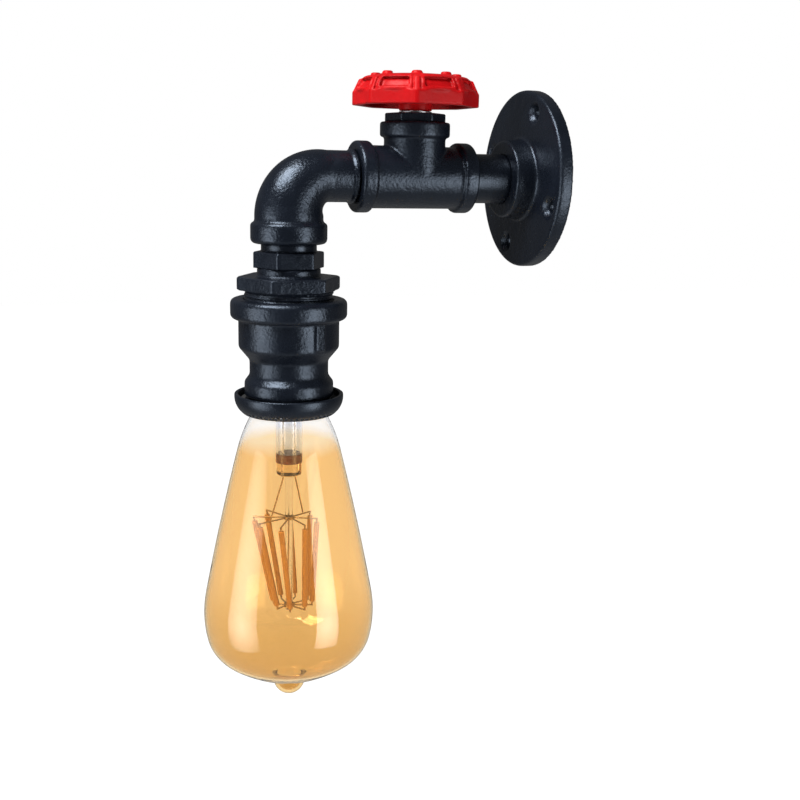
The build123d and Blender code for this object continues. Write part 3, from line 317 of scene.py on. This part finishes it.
def painted(name, paint, rubbed, grain, height, gloss, wear, edge, sheen, glint):
    """Paint over metal: the shared casting effect with this piece's own values."""
    material, tree, shader, _ = new_material(name)
    effect = tree.nodes.new("ShaderNodeGroup")
    effect.node_tree = wear_group()
    for label, value in (("Paint", paint), ("Rubbed", rubbed), ("Grain size", grain),
                         ("Grain height", height), ("Gloss", gloss), ("Wear", wear), ("Edge", edge)):
        connect(tree, value, effect.inputs[label])
    for label, socket in (("Color", "Base Color"), ("Roughness", "Roughness"), ("Normal", "Normal")):
        tree.links.new(effect.outputs[label], shader.inputs[socket])
    shader.inputs["Specular IOR Level"].default_value = sheen
    shader.inputs["Specular Tint"].default_value = (*glint, 1)
    return material


def metal(name, colour, roughness):
    """Bare or plated metal with small blotches."""
    material, tree, shader, _ = new_material(name)
    blotch = noise(tree, 380.0, 4.0)
    dark = [0.78 * channel for channel in colour]
    tree.links.new(mix_colours(tree, blotch, dark, colour), shader.inputs["Base Color"])
    gloss = rescale(tree, blotch, 0.0, 1.0, roughness - 0.1, roughness + 0.12)
    tree.links.new(gloss, shader.inputs["Roughness"])
    shader.inputs["Metallic"].default_value = 1.0
    return material


def moulded(name, colour, roughness):
    """Moulded or coated part with a faint mottle and a fine bump."""
    material, tree, shader, _ = new_material(name)
    mottle = noise(tree, 900.0, 3.0)
    dark = [0.8 * channel for channel in colour]
    light = [min(1.0, 1.12 * channel) for channel in colour]
    tree.links.new(mix_colours(tree, mottle, dark, light), shader.inputs["Base Color"])
    gloss = rescale(tree, mottle, 0.0, 1.0, roughness - 0.08, roughness + 0.1)
    tree.links.new(gloss, shader.inputs["Roughness"])
    tree.links.new(raised(tree, mottle, 0.00005, 0.5), shader.inputs["Normal"])
    return material


def amber_tint(tree, lamp):
    """Colour of the bulb: clear at the neck, amber below a wavy edge and deeper at the base."""
    split = tree.nodes.new("ShaderNodeSeparateXYZ")
    tree.links.new(object_place(tree), split.inputs[0])
    ripple = calculate(tree, "MULTIPLY", noise(tree, 60.0, 1.0), lamp.tint_ripple)
    level = calculate(tree, "ADD", ripple, split.outputs["Z"])
    clear = rescale(tree, level, lamp.tint_top, lamp.tint_top + lamp.tint_fade)
    depth = rescale(tree, level, lamp.tint_top - lamp.deep_start, lamp.tint_top - lamp.deep_end,
                    smooth=True)
    return mix_colours(tree, clear, mix_colours(tree, depth, lamp.amber, lamp.deep_amber),
                       lamp.clear_neck)


def glass(name, sheen=0.5):
    """Clear glass that lets light through its shadow. Returns the two sockets for its tint."""
    material, tree, shader, output = new_material(name)
    shader.inputs["Transmission Weight"].default_value = 1.0
    shader.inputs["Roughness"].default_value = 0.0
    shader.inputs["IOR"].default_value = 1.5
    shader.inputs["Specular IOR Level"].default_value = sheen
    through = tree.nodes.new("ShaderNodeBsdfTransparent")
    path = tree.nodes.new("ShaderNodeLightPath")
    blend = tree.nodes.new("ShaderNodeMixShader")
    tree.links.new(path.outputs["Is Shadow Ray"], blend.inputs[0])
    tree.links.new(shader.outputs["BSDF"], blend.inputs[1])
    tree.links.new(through.outputs[0], blend.inputs[2])
    tree.links.new(blend.outputs[0], output.inputs["Surface"])
    return material, tree, (shader.inputs["Base Color"], through.inputs["Color"])


def tinted_glass(name, tint):
    material, tree, sockets = glass(name)
    for socket in sockets:
        connect(tree, tint, socket)
    return material


# Mesh helpers

def finish_piece(name, mesh_data, body, material, replaces=(), smooth_angle=35):
    """Link a finished mesh, shade it and hand it to its body."""
    piece = bpy.data.objects.new(name, mesh_data)
    bpy.context.scene.collection.objects.link(piece)
    piece.data.materials.clear()
    piece.data.materials.append(material)
    for polygon in piece.data.polygons:
        polygon.use_smooth = True
    piece.data.set_sharp_from_angle(angle=math.radians(smooth_angle))
    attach(piece, body)
    if replaces:
        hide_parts(*replaces)
    return piece


def to_mesh(shape, name):
    mesh_data = bpy.data.meshes.new(name)
    shape.to_mesh(mesh_data)
    shape.free()
    return mesh_data


def dress(nodes, material):
    """Give CAD nodes a material of their own."""
    for node in nodes:
        slots = NODES[node].data.materials
        slots.clear()
        slots.append(material)


def welded(node, name):
    """Merged copy of a CAD node's mesh, ready to be shaded smooth."""
    shape = bmesh.new()
    shape.from_mesh(NODES[node].data)
    bmesh.ops.remove_doubles(shape, verts=shape.verts, dist=1e-6)
    return to_mesh(shape, name)


def cast_copy(node, name, voxel, relax):
    """Remeshed and relaxed copy of a CAD node. Its edges and corners turn soft like a casting's."""
    source = bpy.data.objects.new(name, welded(node, name))
    bpy.context.scene.collection.objects.link(source)
    remesh = source.modifiers.new("Remesh", "REMESH")
    remesh.mode = "VOXEL"
    remesh.voxel_size = voxel
    smooth = source.modifiers.new("Relax", "SMOOTH")
    smooth.factor = 0.5
    smooth.iterations = relax
    graph = bpy.context.evaluated_depsgraph_get()
    mesh_data = bpy.data.meshes.new_from_object(source.evaluated_get(graph))
    mesh_data.name = name
    bpy.data.objects.remove(source)
    return mesh_data


def cut_thread(mesh_data):
    """Press the bushing's screw thread into the upright cylinder of its mesh."""
    axis_x, axis_y = (MM * place for place in LAMP_AXIS)
    low, high = (MM * level for level in THREAD_LEVELS)
    radius, pitch, depth = THREAD_RADIUS * MM, THREAD_PITCH * MM, THREAD_DEPTH * MM
    for vertex in mesh_data.vertices:
        x, y, z = vertex.co.x - axis_x, vertex.co.y - axis_y, vertex.co.z
        reach = math.hypot(x, y)
        if low < z < high and reach > radius - depth:
            turn = (z / pitch + math.atan2(y, x) / (2 * math.pi)) % 1.0
            shrink = 1 - depth * abs(2 * turn - 1) / reach
            vertex.co.x = axis_x + x * shrink
            vertex.co.y = axis_y + y * shrink


def paint_piece(node, size, body, material):
    """Replace a CAD node by its painted cast copy."""
    voxel, relax = size
    copy = cast_copy(node, node, voxel * MM, relax)
    if node == "reducing_bushing":
        cut_thread(copy)
    finish_piece(f"{node}_painted", copy, body, material, (node,), 180)


# Operators

class DressStage(bpy.types.Operator):
    """Place the camera, the soft lights and the pale floor"""
    bl_idname = "pipe_light.stage"
    bl_label = "Stage"

    def execute(self, context):
        settings = context.scene.stage_settings
        context.scene.view_settings.view_transform = "Standard"
        view, side = self.place_camera(context.scene, settings)
        self.place_lights(context.scene, view, side)
        self.light_world(context.scene, settings)
        self.lay_floor(context.scene, settings)
        return {"FINISHED"}

    def place_camera(self, scene, settings):
        """Camera at the settings' place. Returns its view and its right-hand side."""
        camera_data = bpy.data.cameras.new("Camera")
        camera_data.lens = settings.lens
        camera_data.sensor_width = SENSOR_WIDTH
        camera_data.clip_start = NEAREST_SEEN
        camera = bpy.data.objects.new("Camera", camera_data)
        scene.collection.objects.link(camera)
        flat = math.cos(settings.elevation)
        view = Vector((-math.sin(settings.azimuth) * flat, math.cos(settings.azimuth) * flat,
                       -math.sin(settings.elevation)))
        lean = Quaternion((0, 0, 1), settings.roll)
        camera.rotation_mode = "QUATERNION"
        camera.rotation_quaternion = view.to_track_quat("-Z", "Y") @ lean
        camera.location = settings.place
        scene.camera = camera
        return view, camera.rotation_quaternion @ Vector((1, 0, 0))

    def place_lights(self, scene, view, side):
        aim = Vector(LIGHT_AIM)
        towards_camera = Vector((-view.x, -view.y, 0)).normalized()
        for label, around, up, reach, width, height, power, spread in SOFT_BOXES:
            lamp_data = bpy.data.lights.new(label, "AREA")
            lamp_data.shape = "RECTANGLE"
            lamp_data.size = width
            lamp_data.size_y = height
            lamp_data.energy = power
            lamp_data.spread = math.radians(spread)
            lamp = bpy.data.objects.new(label, lamp_data)
            turn, rise = math.radians(around), math.radians(up)
            level = towards_camera * math.cos(turn) + side * math.sin(turn)
            lamp.location = aim + (level * math.cos(rise) + Vector((0, 0, math.sin(rise)))) * reach
            lamp.rotation_mode = "QUATERNION"
            lamp.rotation_quaternion = (aim - lamp.location).to_track_quat("-Z", "Y")
            scene.collection.objects.link(lamp)

    def seen_directly(self, tree):
        """1 where the camera looks, straight or through glass."""
        path = tree.nodes.new("ShaderNodeLightPath")
        return calculate(tree, "MAXIMUM", path.outputs["Is Camera Ray"],
                         path.outputs["Is Transmission Ray"])

    def light_world(self, scene, settings):
        """White where it is seen, and a low even light all round."""
        world = bpy.data.worlds.new("Studio")
        scene.world = world
        world.use_nodes = True
        tree = world.node_tree
        tree.nodes.clear()
        output = tree.nodes.new("ShaderNodeOutputWorld")
        sky = tree.nodes.new("ShaderNodeBackground")
        sky.inputs["Strength"].default_value = settings.world_light
        seen = tree.nodes.new("ShaderNodeBackground")
        seen.inputs["Strength"].default_value = 1.0
        seen.inputs["Color"].default_value = (1, 1, 1, 1)
        blend = tree.nodes.new("ShaderNodeMixShader")
        tree.links.new(self.seen_directly(tree), blend.inputs[0])
        tree.links.new(sky.outputs[0], blend.inputs[1])
        tree.links.new(seen.outputs[0], blend.inputs[2])
        tree.links.new(blend.outputs[0], output.inputs["Surface"])

    def lay_floor(self, scene, settings):
        shape = bmesh.new()
        bmesh.ops.create_grid(shape, x_segments=1, y_segments=1, size=FLOOR_SIZE)
        bmesh.ops.translate(shape, vec=(0, 0, settings.floor_level), verts=shape.verts)
        floor = bpy.data.objects.new("Floor", to_mesh(shape, "Floor"))
        scene.collection.objects.link(floor)
        material, tree, shader, output = new_material("Pale floor")
        shader.inputs["Base Color"].default_value = (*FLOOR_PAINT, 1)
        shader.inputs["Roughness"].default_value = 0.9
        glow = tree.nodes.new("ShaderNodeEmission")
        strength = calculate(tree, "MULTIPLY", self.seen_directly(tree), FLOOR_GLOW)
        tree.links.new(strength, glow.inputs["Strength"])
        add = tree.nodes.new("ShaderNodeAddShader")
        tree.links.new(shader.outputs["BSDF"], add.inputs[0])
        tree.links.new(glow.outputs[0], add.inputs[1])
        tree.links.new(add.outputs[0], output.inputs["Surface"])
        floor.data.materials.append(material)


class DressFittings(bpy.types.Operator):
    """Paint the cast fittings and the pipe"""
    bl_idname = "pipe_light.fittings"
    bl_label = "Black fittings"

    def execute(self, context):
        paint = context.scene.paint_settings

        def black(name, grain, height, gloss, wear, edge):
            return painted(name, paint.black, paint.black_worn, grain, height, gloss, wear, edge, 0.5,
                           paint.black_glint)

        cast = black("Black paint on castings", paint.grain, 1.0, 0.27, 1.0, 0.0008)
        pipe = black("Black paint on pipe", 0.0006, 0.45, 0.25, 0.8, 0.0008)
        ring = black("Black paint on the ring", 0.0007, 0.5, 0.3, 1.2, 0.0004)
        for node, *size in CAST_SIZES:
            paint_piece(node, size, "fixture", cast)
        for node, *size in PIPE_SIZES:
            paint_piece(node, size, "fixture", pipe)
        paint_piece("shade_ring", RING_SIZE, "shade_ring", ring)
        return {"FINISHED"}


class DressHandwheel(bpy.types.Operator):
    """Paint the handwheel"""
    bl_idname = "pipe_light.handwheel"
    bl_label = "Red handwheel"

    def execute(self, context):
        paint = context.scene.paint_settings
        red = painted("Red gloss paint", paint.red, paint.red_worn, 0.0009, 0.45, 0.33, 0.5, 0.0007,
                      0.22, paint.red_glint)
        paint_piece("handwheel", WHEEL_SIZE, "wheel", red)
        return {"FINISHED"}


class DressHardware(bpy.types.Operator):
    """Finish the small metal, rubber and moulded pieces"""
    bl_idname = "pipe_light.hardware"
    bl_label = "Hardware and wiring"

    def execute(self, context):
        for nodes, name, colour, roughness in METALS:
            dress(nodes, metal(name, colour, roughness))
        for nodes, name, colour, roughness in MOULDINGS:
            dress(nodes, moulded(name, colour, roughness))
        return {"FINISHED"}


class DressBulb(bpy.types.Operator):
    """Blow the amber bulb and its inner glass"""
    bl_idname = "pipe_light.bulb"
    bl_label = "Amber bulb"

    def execute(self, context):
        lamp = context.scene.lamp_settings
        amber, tree, sockets = glass("Amber glass", lamp.sheen)
        tint = amber_tint(tree, lamp)
        for socket in sockets:
            connect(tree, tint, socket)
        finish_piece("bulb_amber", welded("bulb_glass", "bulb_glass"), "bulb", amber,
                     ("bulb_glass",), 40)
        dress(("stem_tube", "centre_rod"), tinted_glass("Clear glass", (0.85, 0.87, 0.92)))
        dress(("stem_collar",), tinted_glass("Amber collar glass", (0.80, 0.66, 0.46)))
        return {"FINISHED"}


class DressFilaments(bpy.types.Operator):
    """Coat the filaments"""
    bl_idname = "pipe_light.filaments"
    bl_label = "Filaments"

    def execute(self, context):
        lamp = context.scene.lamp_settings
        dress(FILAMENTS, moulded("Filament coating", lamp.coating, 0.45))
        return {"FINISHED"}


class PipeLightPanel(bpy.types.Panel):
    """Buttons for the pipe light's pieces"""
    bl_idname = "VIEW3D_PT_pipe_light"
    bl_label = "Pipe light"
    bl_space_type = "VIEW_3D"
    bl_region_type = "UI"
    bl_category = "Pipe light"

    def draw(self, context):
        for group, names in (
                (context.scene.stage_settings, StageSettings.__annotations__),
                (context.scene.paint_settings, PaintSettings.__annotations__),
                (context.scene.lamp_settings, LampSettings.__annotations__)):
            for name in names:
                self.layout.prop(group, name)
        for operator in OPERATORS:
            self.layout.operator(operator.bl_idname)


SETTINGS = {"stage_settings": StageSettings, "paint_settings": PaintSettings,
            "lamp_settings": LampSettings}
OPERATORS = (DressStage, DressFittings, DressHandwheel, DressHardware, DressBulb, DressFilaments)


def register():
    for group in (*SETTINGS.values(), *OPERATORS, PipeLightPanel):
        bpy.utils.register_class(group)
    for name, group in SETTINGS.items():
        setattr(bpy.types.Scene, name, bpy.props.PointerProperty(type=group))


def unregister():
    for name in SETTINGS:
        delattr(bpy.types.Scene, name)
    for group in reversed((*SETTINGS.values(), *OPERATORS, PipeLightPanel)):
        bpy.utils.unregister_class(group)


def main():
    register()
    bpy.ops.pipe_light.stage()
    bpy.ops.pipe_light.fittings()
    bpy.ops.pipe_light.handwheel()
    bpy.ops.pipe_light.hardware()
    bpy.ops.pipe_light.bulb()
    bpy.ops.pipe_light.filaments()


if __name__ == "__main__":
    main()
